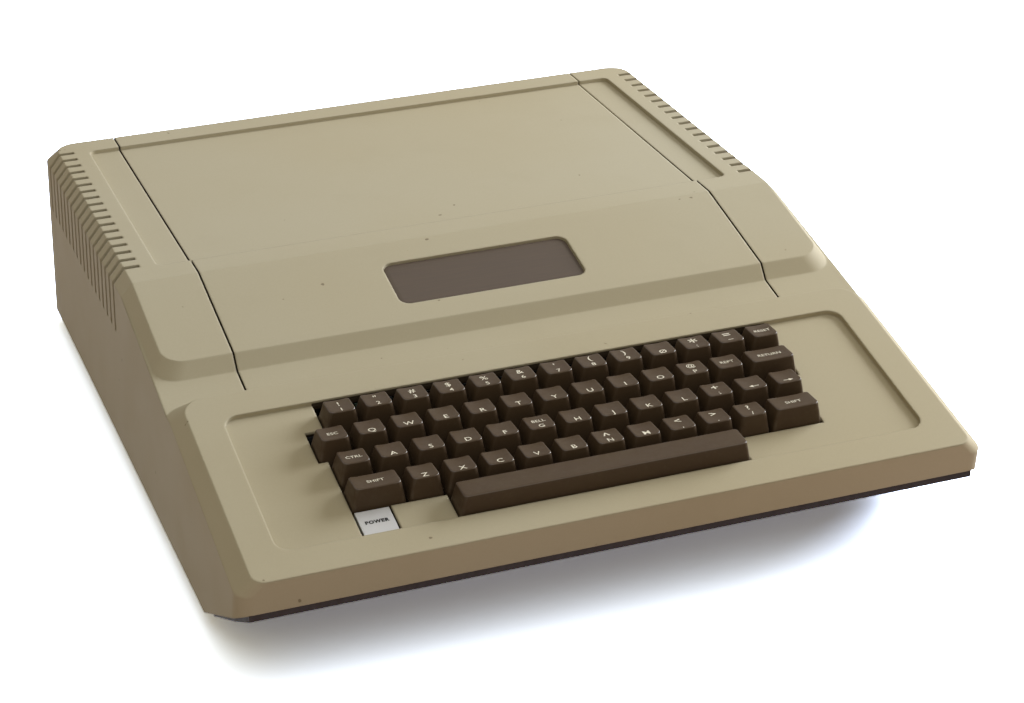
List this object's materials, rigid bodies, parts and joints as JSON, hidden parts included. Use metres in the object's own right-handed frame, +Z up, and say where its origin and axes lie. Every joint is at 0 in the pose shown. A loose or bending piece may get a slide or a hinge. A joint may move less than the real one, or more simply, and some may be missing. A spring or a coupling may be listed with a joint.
{
  "type": "home computer",
  "caption": "Wedge-shaped vintage home computer with a built-in keyboard, a lift-off lid over its board and power supply, side vents and a back wall with cable openings.",
  "frame": {"origin": "middle of the footprint, on the surface that the rubber feet stand on", "axes": "+Z up, -Y towards the person at the keyboard, +X to that person's right"},
  "size_m": [0.3888, 0.47, 0.1152],
  "materials": {
    "case_plastic": "fine textured moulding",
    "base_metal": "dark brown paint",
    "key_plastic": "satin",
    "lamp_plastic": "satin",
    "frame_steel": "black paint",
    "circuit_board": "satin",
    "supply_metal": "brushed",
    "switch_plastic": "gloss"
  },
  "bodies": {
    "case": {"case_shell": "case_plastic", "base_plate": "base_metal", "keyboard_frame": "frame_steel", "power_lamp": "lamp_plastic", "main_board": "circuit_board", "power_supply": "supply_metal"},
    "lid": {"lid": "case_plastic"},
    "power_rocker": {"power_switch": "switch_plastic"},
    "key_0_body": {"key_0": "key_plastic"},
    "key_1_body": {"key_1": "key_plastic"},
    "key_2_body": {"key_2": "key_plastic"},
    "key_3_body": {"key_3": "key_plastic"},
    "key_4_body": {"key_4": "key_plastic"},
    "key_5_body": {"key_5": "key_plastic"},
    "key_6_body": {"key_6": "key_plastic"},
    "key_7_body": {"key_7": "key_plastic"},
    "key_8_body": {"key_8": "key_plastic"},
    "key_9_body": {"key_9": "key_plastic"},
    "key_a_body": {"key_a": "key_plastic"},
    "key_arrow_left_body": {"key_arrow_left": "key_plastic"},
    "key_arrow_right_body": {"key_arrow_right": "key_plastic"},
    "key_b_body": {"key_b": "key_plastic"},
    "key_c_body": {"key_c": "key_plastic"},
    "key_colon_body": {"key_colon": "key_plastic"},
    "key_comma_body": {"key_comma": "key_plastic"},
    "key_ctrl_body": {"key_ctrl": "key_plastic"},
    "key_d_body": {"key_d": "key_plastic"},
    "key_e_body": {"key_e": "key_plastic"},
    "key_esc_body": {"key_esc": "key_plastic"},
    "key_f_body": {"key_f": "key_plastic"},
    "key_g_body": {"key_g": "key_plastic"},
    "key_h_body": {"key_h": "key_plastic"},
    "key_i_body": {"key_i": "key_plastic"},
    "key_j_body": {"key_j": "key_plastic"},
    "key_k_body": {"key_k": "key_plastic"},
    "key_l_body": {"key_l": "key_plastic"},
    "key_m_body": {"key_m": "key_plastic"},
    "key_minus_body": {"key_minus": "key_plastic"},
    "key_n_body": {"key_n": "key_plastic"},
    "key_o_body": {"key_o": "key_plastic"},
    "key_p_body": {"key_p": "key_plastic"},
    "key_period_body": {"key_period": "key_plastic"},
    "key_q_body": {"key_q": "key_plastic"},
    "key_r_body": {"key_r": "key_plastic"},
    "key_rept_body": {"key_rept": "key_plastic"},
    "key_reset_body": {"key_reset": "key_plastic"},
    "key_return_body": {"key_return": "key_plastic"},
    "key_s_body": {"key_s": "key_plastic"},
    "key_semicolon_body": {"key_semicolon": "key_plastic"},
    "key_shift_left_body": {"key_shift_left": "key_plastic"},
    "key_shift_right_body": {"key_shift_right": "key_plastic"},
    "key_slash_body": {"key_slash": "key_plastic"},
    "key_space_body": {"key_space": "key_plastic"},
    "key_t_body": {"key_t": "key_plastic"},
    "key_u_body": {"key_u": "key_plastic"},
    "key_v_body": {"key_v": "key_plastic"},
    "key_w_body": {"key_w": "key_plastic"},
    "key_x_body": {"key_x": "key_plastic"},
    "key_y_body": {"key_y": "key_plastic"},
    "key_z_body": {"key_z": "key_plastic"}
  },
  "joints": [
    {"name": "lid_lift", "type": "slide", "parent": "case", "child": "lid", "axis": [0, 0, 1], "range_m": [0, 0.15]},
    {"name": "power_rock", "type": "hinge", "parent": "case", "child": "power_rocker", "pos_m": [-0.11585, 0.227, 0.0455], "axis": [1, 0, 0], "range_deg": [-20, 0]},
    {"name": "key_0_press", "type": "slide", "parent": "case", "child": "key_0_body", "axis": [0, 0.2106, -0.9776], "range_m": [0, 0.0038], "stiffness_N_per_m": 100, "springref_m": -0.0035},
    {"name": "key_1_press", "type": "slide", "parent": "case", "child": "key_1_body", "axis": [0, 0.2106, -0.9776], "range_m": [0, 0.0038], "stiffness_N_per_m": 100, "springref_m": -0.0035},
    {"name": "key_2_press", "type": "slide", "parent": "case", "child": "key_2_body", "axis": [0, 0.2106, -0.9776], "range_m": [0, 0.0038], "stiffness_N_per_m": 100, "springref_m": -0.0035},
    {"name": "key_3_press", "type": "slide", "parent": "case", "child": "key_3_body", "axis": [0, 0.2106, -0.9776], "range_m": [0, 0.0038], "stiffness_N_per_m": 100, "springref_m": -0.0035},
    {"name": "key_4_press", "type": "slide", "parent": "case", "child": "key_4_body", "axis": [0, 0.2106, -0.9776], "range_m": [0, 0.0038], "stiffness_N_per_m": 100, "springref_m": -0.0035},
    {"name": "key_5_press", "type": "slide", "parent": "case", "child": "key_5_body", "axis": [0, 0.2106, -0.9776], "range_m": [0, 0.0038], "stiffness_N_per_m": 100, "springref_m": -0.0035},
    {"name": "key_6_press", "type": "slide", "parent": "case", "child": "key_6_body", "axis": [0, 0.2106, -0.9776], "range_m": [0, 0.0038], "stiffness_N_per_m": 100, "springref_m": -0.0035},
    {"name": "key_7_press", "type": "slide", "parent": "case", "child": "key_7_body", "axis": [0, 0.2106, -0.9776], "range_m": [0, 0.0038], "stiffness_N_per_m": 100, "springref_m": -0.0035},
    {"name": "key_8_press", "type": "slide", "parent": "case", "child": "key_8_body", "axis": [0, 0.2106, -0.9776], "range_m": [0, 0.0038], "stiffness_N_per_m": 100, "springref_m": -0.0035},
    {"name": "key_9_press", "type": "slide", "parent": "case", "child": "key_9_body", "axis": [0, 0.2106, -0.9776], "range_m": [0, 0.0038], "stiffness_N_per_m": 100, "springref_m": -0.0035},
    {"name": "key_a_press", "type": "slide", "parent": "case", "child": "key_a_body", "axis": [0, 0.2106, -0.9776], "range_m": [0, 0.0038], "stiffness_N_per_m": 100, "springref_m": -0.0035},
    {"name": "key_arrow_left_press", "type": "slide", "parent": "case", "child": "key_arrow_left_body", "axis": [0, 0.2106, -0.9776], "range_m": [0, 0.0038], "stiffness_N_per_m": 100, "springref_m": -0.0035},
    {"name": "key_arrow_right_press", "type": "slide", "parent": "case", "child": "key_arrow_right_body", "axis": [0, 0.2106, -0.9776], "range_m": [0, 0.0038], "stiffness_N_per_m": 100, "springref_m": -0.0035},
    {"name": "key_b_press", "type": "slide", "parent": "case", "child": "key_b_body", "axis": [0, 0.2106, -0.9776], "range_m": [0, 0.0038], "stiffness_N_per_m": 100, "springref_m": -0.0035},
    {"name": "key_c_press", "type": "slide", "parent": "case", "child": "key_c_body", "axis": [0, 0.2106, -0.9776], "range_m": [0, 0.0038], "stiffness_N_per_m": 100, "springref_m": -0.0035},
    {"name": "key_colon_press", "type": "slide", "parent": "case", "child": "key_colon_body", "axis": [0, 0.2106, -0.9776], "range_m": [0, 0.0038], "stiffness_N_per_m": 100, "springref_m": -0.0035},
    {"name": "key_comma_press", "type": "slide", "parent": "case", "child": "key_comma_body", "axis": [0, 0.2106, -0.9776], "range_m": [0, 0.0038], "stiffness_N_per_m": 100, "springref_m": -0.0035},
    {"name": "key_ctrl_press", "type": "slide", "parent": "case", "child": "key_ctrl_body", "axis": [0, 0.2106, -0.9776], "range_m": [0, 0.0038], "stiffness_N_per_m": 100, "springref_m": -0.0035},
    {"name": "key_d_press", "type": "slide", "parent": "case", "child": "key_d_body", "axis": [0, 0.2106, -0.9776], "range_m": [0, 0.0038], "stiffness_N_per_m": 100, "springref_m": -0.0035},
    {"name": "key_e_press", "type": "slide", "parent": "case", "child": "key_e_body", "axis": [0, 0.2106, -0.9776], "range_m": [0, 0.0038], "stiffness_N_per_m": 100, "springref_m": -0.0035},
    {"name": "key_esc_press", "type": "slide", "parent": "case", "child": "key_esc_body", "axis": [0, 0.2106, -0.9776], "range_m": [0, 0.0038], "stiffness_N_per_m": 100, "springref_m": -0.0035},
    {"name": "key_f_press", "type": "slide", "parent": "case", "child": "key_f_body", "axis": [0, 0.2106, -0.9776], "range_m": [0, 0.0038], "stiffness_N_per_m": 100, "springref_m": -0.0035},
    {"name": "key_g_press", "type": "slide", "parent": "case", "child": "key_g_body", "axis": [0, 0.2106, -0.9776], "range_m": [0, 0.0038], "stiffness_N_per_m": 100, "springref_m": -0.0035},
    {"name": "key_h_press", "type": "slide", "parent": "case", "child": "key_h_body", "axis": [0, 0.2106, -0.9776], "range_m": [0, 0.0038], "stiffness_N_per_m": 100, "springref_m": -0.0035},
    {"name": "key_i_press", "type": "slide", "parent": "case", "child": "key_i_body", "axis": [0, 0.2106, -0.9776], "range_m": [0, 0.0038], "stiffness_N_per_m": 100, "springref_m": -0.0035},
    {"name": "key_j_press", "type": "slide", "parent": "case", "child": "key_j_body", "axis": [0, 0.2106, -0.9776], "range_m": [0, 0.0038], "stiffness_N_per_m": 100, "springref_m": -0.0035},
    {"name": "key_k_press", "type": "slide", "parent": "case", "child": "key_k_body", "axis": [0, 0.2106, -0.9776], "range_m": [0, 0.0038], "stiffness_N_per_m": 100, "springref_m": -0.0035},
    {"name": "key_l_press", "type": "slide", "parent": "case", "child": "key_l_body", "axis": [0, 0.2106, -0.9776], "range_m": [0, 0.0038], "stiffness_N_per_m": 100, "springref_m": -0.0035},
    {"name": "key_m_press", "type": "slide", "parent": "case", "child": "key_m_body", "axis": [0, 0.2106, -0.9776], "range_m": [0, 0.0038], "stiffness_N_per_m": 100, "springref_m": -0.0035},
    {"name": "key_minus_press", "type": "slide", "parent": "case", "child": "key_minus_body", "axis": [0, 0.2106, -0.9776], "range_m": [0, 0.0038], "stiffness_N_per_m": 100, "springref_m": -0.0035},
    {"name": "key_n_press", "type": "slide", "parent": "case", "child": "key_n_body", "axis": [0, 0.2106, -0.9776], "range_m": [0, 0.0038], "stiffness_N_per_m": 100, "springref_m": -0.0035},
    {"name": "key_o_press", "type": "slide", "parent": "case", "child": "key_o_body", "axis": [0, 0.2106, -0.9776], "range_m": [0, 0.0038], "stiffness_N_per_m": 100, "springref_m": -0.0035},
    {"name": "key_p_press", "type": "slide", "parent": "case", "child": "key_p_body", "axis": [0, 0.2106, -0.9776], "range_m": [0, 0.0038], "stiffness_N_per_m": 100, "springref_m": -0.0035},
    {"name": "key_period_press", "type": "slide", "parent": "case", "child": "key_period_body", "axis": [0, 0.2106, -0.9776], "range_m": [0, 0.0038], "stiffness_N_per_m": 100, "springref_m": -0.0035},
    {"name": "key_q_press", "type": "slide", "parent": "case", "child": "key_q_body", "axis": [0, 0.2106, -0.9776], "range_m": [0, 0.0038], "stiffness_N_per_m": 100, "springref_m": -0.0035},
    {"name": "key_r_press", "type": "slide", "parent": "case", "child": "key_r_body", "axis": [0, 0.2106, -0.9776], "range_m": [0, 0.0038], "stiffness_N_per_m": 100, "springref_m": -0.0035},
    {"name": "key_rept_press", "type": "slide", "parent": "case", "child": "key_rept_body", "axis": [0, 0.2106, -0.9776], "range_m": [0, 0.0038], "stiffness_N_per_m": 100, "springref_m": -0.0035},
    {"name": "key_reset_press", "type": "slide", "parent": "case", "child": "key_reset_body", "axis": [0, 0.2106, -0.9776], "range_m": [0, 0.0038], "stiffness_N_per_m": 100, "springref_m": -0.0035},
    {"name": "key_return_press", "type": "slide", "parent": "case", "child": "key_return_body", "axis": [0, 0.2106, -0.9776], "range_m": [0, 0.0038], "stiffness_N_per_m": 100, "springref_m": -0.0035},
    {"name": "key_s_press", "type": "slide", "parent": "case", "child": "key_s_body", "axis": [0, 0.2106, -0.9776], "range_m": [0, 0.0038], "stiffness_N_per_m": 100, "springref_m": -0.0035},
    {"name": "key_semicolon_press", "type": "slide", "parent": "case", "child": "key_semicolon_body", "axis": [0, 0.2106, -0.9776], "range_m": [0, 0.0038], "stiffness_N_per_m": 100, "springref_m": -0.0035},
    {"name": "key_shift_left_press", "type": "slide", "parent": "case", "child": "key_shift_left_body", "axis": [0, 0.2106, -0.9776], "range_m": [0, 0.0038], "stiffness_N_per_m": 100, "springref_m": -0.0035},
    {"name": "key_shift_right_press", "type": "slide", "parent": "case", "child": "key_shift_right_body", "axis": [0, 0.2106, -0.9776], "range_m": [0, 0.0038], "stiffness_N_per_m": 100, "springref_m": -0.0035},
    {"name": "key_slash_press", "type": "slide", "parent": "case", "child": "key_slash_body", "axis": [0, 0.2106, -0.9776], "range_m": [0, 0.0038], "stiffness_N_per_m": 100, "springref_m": -0.0035},
    {"name": "key_space_press", "type": "slide", "parent": "case", "child": "key_space_body", "axis": [0, 0.2106, -0.9776], "range_m": [0, 0.0038], "stiffness_N_per_m": 160, "springref_m": -0.0035},
    {"name": "key_t_press", "type": "slide", "parent": "case", "child": "key_t_body", "axis": [0, 0.2106, -0.9776], "range_m": [0, 0.0038], "stiffness_N_per_m": 100, "springref_m": -0.0035},
    {"name": "key_u_press", "type": "slide", "parent": "case", "child": "key_u_body", "axis": [0, 0.2106, -0.9776], "range_m": [0, 0.0038], "stiffness_N_per_m": 100, "springref_m": -0.0035},
    {"name": "key_v_press", "type": "slide", "parent": "case", "child": "key_v_body", "axis": [0, 0.2106, -0.9776], "range_m": [0, 0.0038], "stiffness_N_per_m": 100, "springref_m": -0.0035},
    {"name": "key_w_press", "type": "slide", "parent": "case", "child": "key_w_body", "axis": [0, 0.2106, -0.9776], "range_m": [0, 0.0038], "stiffness_N_per_m": 100, "springref_m": -0.0035},
    {"name": "key_x_press", "type": "slide", "parent": "case", "child": "key_x_body", "axis": [0, 0.2106, -0.9776], "range_m": [0, 0.0038], "stiffness_N_per_m": 100, "springref_m": -0.0035},
    {"name": "key_y_press", "type": "slide", "parent": "case", "child": "key_y_body", "axis": [0, 0.2106, -0.9776], "range_m": [0, 0.0038], "stiffness_N_per_m": 100, "springref_m": -0.0035},
    {"name": "key_z_press", "type": "slide", "parent": "case", "child": "key_z_body", "axis": [0, 0.2106, -0.9776], "range_m": [0, 0.0038], "stiffness_N_per_m": 100, "springref_m": -0.0035}
  ]
}
